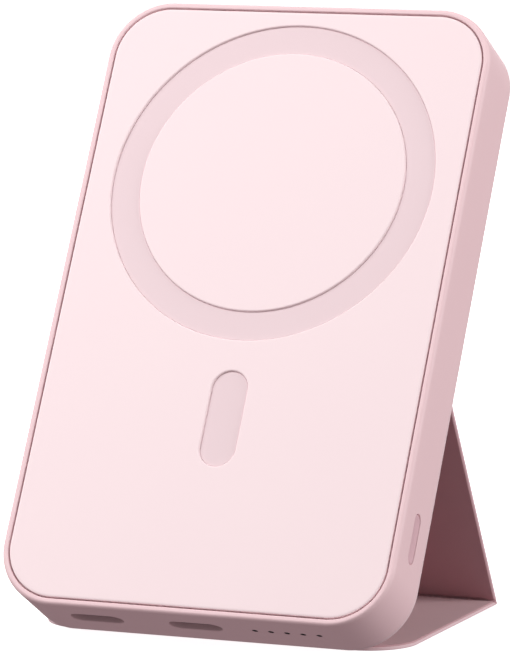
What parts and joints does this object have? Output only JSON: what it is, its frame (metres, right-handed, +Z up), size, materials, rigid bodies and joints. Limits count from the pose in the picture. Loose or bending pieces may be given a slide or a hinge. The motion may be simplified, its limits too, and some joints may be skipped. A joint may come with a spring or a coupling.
{
  "type": "magnetic power bank with fold-out stand",
  "caption": "Slim magnetic wireless power bank with a ring and bar on its front panel, two sockets, charge lights, a side button and a folding three-panel stand.",
  "frame": {"origin": "centre of the stand base's underside, on the table, with the stand open", "axes": "+Z up, +X to the right seen from the front, -Y towards the front, where the leaning charging face looks"},
  "size_m": [0.0666, 0.0611, 0.0977],
  "materials": {
    "housing_plastic": "fine satin pale pink moulding",
    "panel_plastic": "soft-touch matte pale pink",
    "recess_pad": "matte, slightly greyer pink",
    "button_plastic": "satin pink",
    "soft_skin": "fine-grained coated skin, pink",
    "stand_leather": "fine-grained coated outer skin, pink",
    "stand_lining": "fine microfibre lining, dusty pink",
    "stiffener_board": "pressed glass-fibre board",
    "gasket_foam": "black foam",
    "carrier_plastic": "natural moulded plastic",
    "ferrite": "dark flexible ferrite sheet",
    "copper": "enamelled copper winding",
    "magnet_metal": "nickel-plated magnet",
    "cell_pouch": "laminated foil pouch",
    "graphite": "graphite sheet",
    "tape": "double-sided tape",
    "tab_metal": "nickel strip",
    "circuit_board": "green solder mask",
    "screw_metal": "zinc-plated steel",
    "chip_resin": "black moulding resin",
    "capacitor_ceramic": "tan ceramic",
    "socket_metal": "nickel-plated drawn shell",
    "socket_plastic": "black moulding",
    "smoked_guide": "smoked clear moulding",
    "emitter_resin": "pale emitter resin"
  },
  "bodies": {
    "body": {"rear_housing": "housing_plastic", "back_skin": "soft_skin", "hinge_strip": "soft_skin", "front_panel": "panel_plastic", "panel_gasket": "gasket_foam", "ring_pad": "recess_pad", "bar_pad": "recess_pad", "coil_carrier": "carrier_plastic", "ferrite_disc": "ferrite", "charging_coil": "copper", "ring_magnets": "magnet_metal", "bar_magnet": "magnet_metal", "coil_leads": "copper", "battery_cell": "cell_pouch", "heat_spreader": "graphite", "cell_tape": "tape", "end_foam": "gasket_foam", "battery_tabs": "tab_metal", "main_board": "circuit_board", "board_screws": "screw_metal", "controller_chip": "chip_resin", "power_inductor": "chip_resin", "capacitors": "capacitor_ceramic", "socket_shell_left": "socket_metal", "socket_tongue_left": "socket_plastic", "socket_shell_centre": "socket_metal", "socket_tongue_centre": "socket_plastic", "light_guide": "smoked_guide", "light_emitters": "emitter_resin", "button_switch": "chip_resin", "latch_magnets_open": "magnet_metal", "latch_magnets_closed": "magnet_metal"},
    "power_button": {"power_button": "button_plastic", "switch_plunger": "chip_resin"},
    "stand_base": {"base_cover": "stand_leather", "base_stiffener": "stiffener_board", "base_lining": "stand_lining"},
    "stand_leg": {"leg_cover": "stand_leather", "leg_stiffener": "stiffener_board", "leg_lining": "stand_lining"},
    "stand_tab": {"tab_cover": "stand_leather", "tab_magnets": "magnet_metal", "tab_lining": "stand_lining"}
  },
  "joints": [
    {"name": "button_press", "type": "slide", "parent": "body", "child": "power_button", "axis": [-1, 0, 0], "range_m": [0, 0.0003], "stiffness_N_per_m": 3000, "springref_m": -0.0002},
    {"name": "base_hinge", "type": "hinge", "parent": "body", "child": "stand_base", "pos_m": [0, -0.02319, 0], "axis": [1, 0, 0], "range_deg": [0, 61]},
    {"name": "leg_crease", "type": "hinge", "parent": "stand_base", "child": "stand_leg", "pos_m": [0, 0.02319, 0], "axis": [-1, 0, 0], "range_deg": [0, 122]},
    {"name": "tab_crease", "type": "hinge", "parent": "stand_leg", "child": "stand_tab", "pos_m": [0, -0.00139, 0.03934], "axis": [1, 0, 0], "range_deg": [0, 61]}
  ],
  "couplings": [
    {"joint": "leg_crease", "follows": "base_hinge", "ratio": 2},
    {"joint": "tab_crease", "follows": "base_hinge", "ratio": 1}
  ]
}
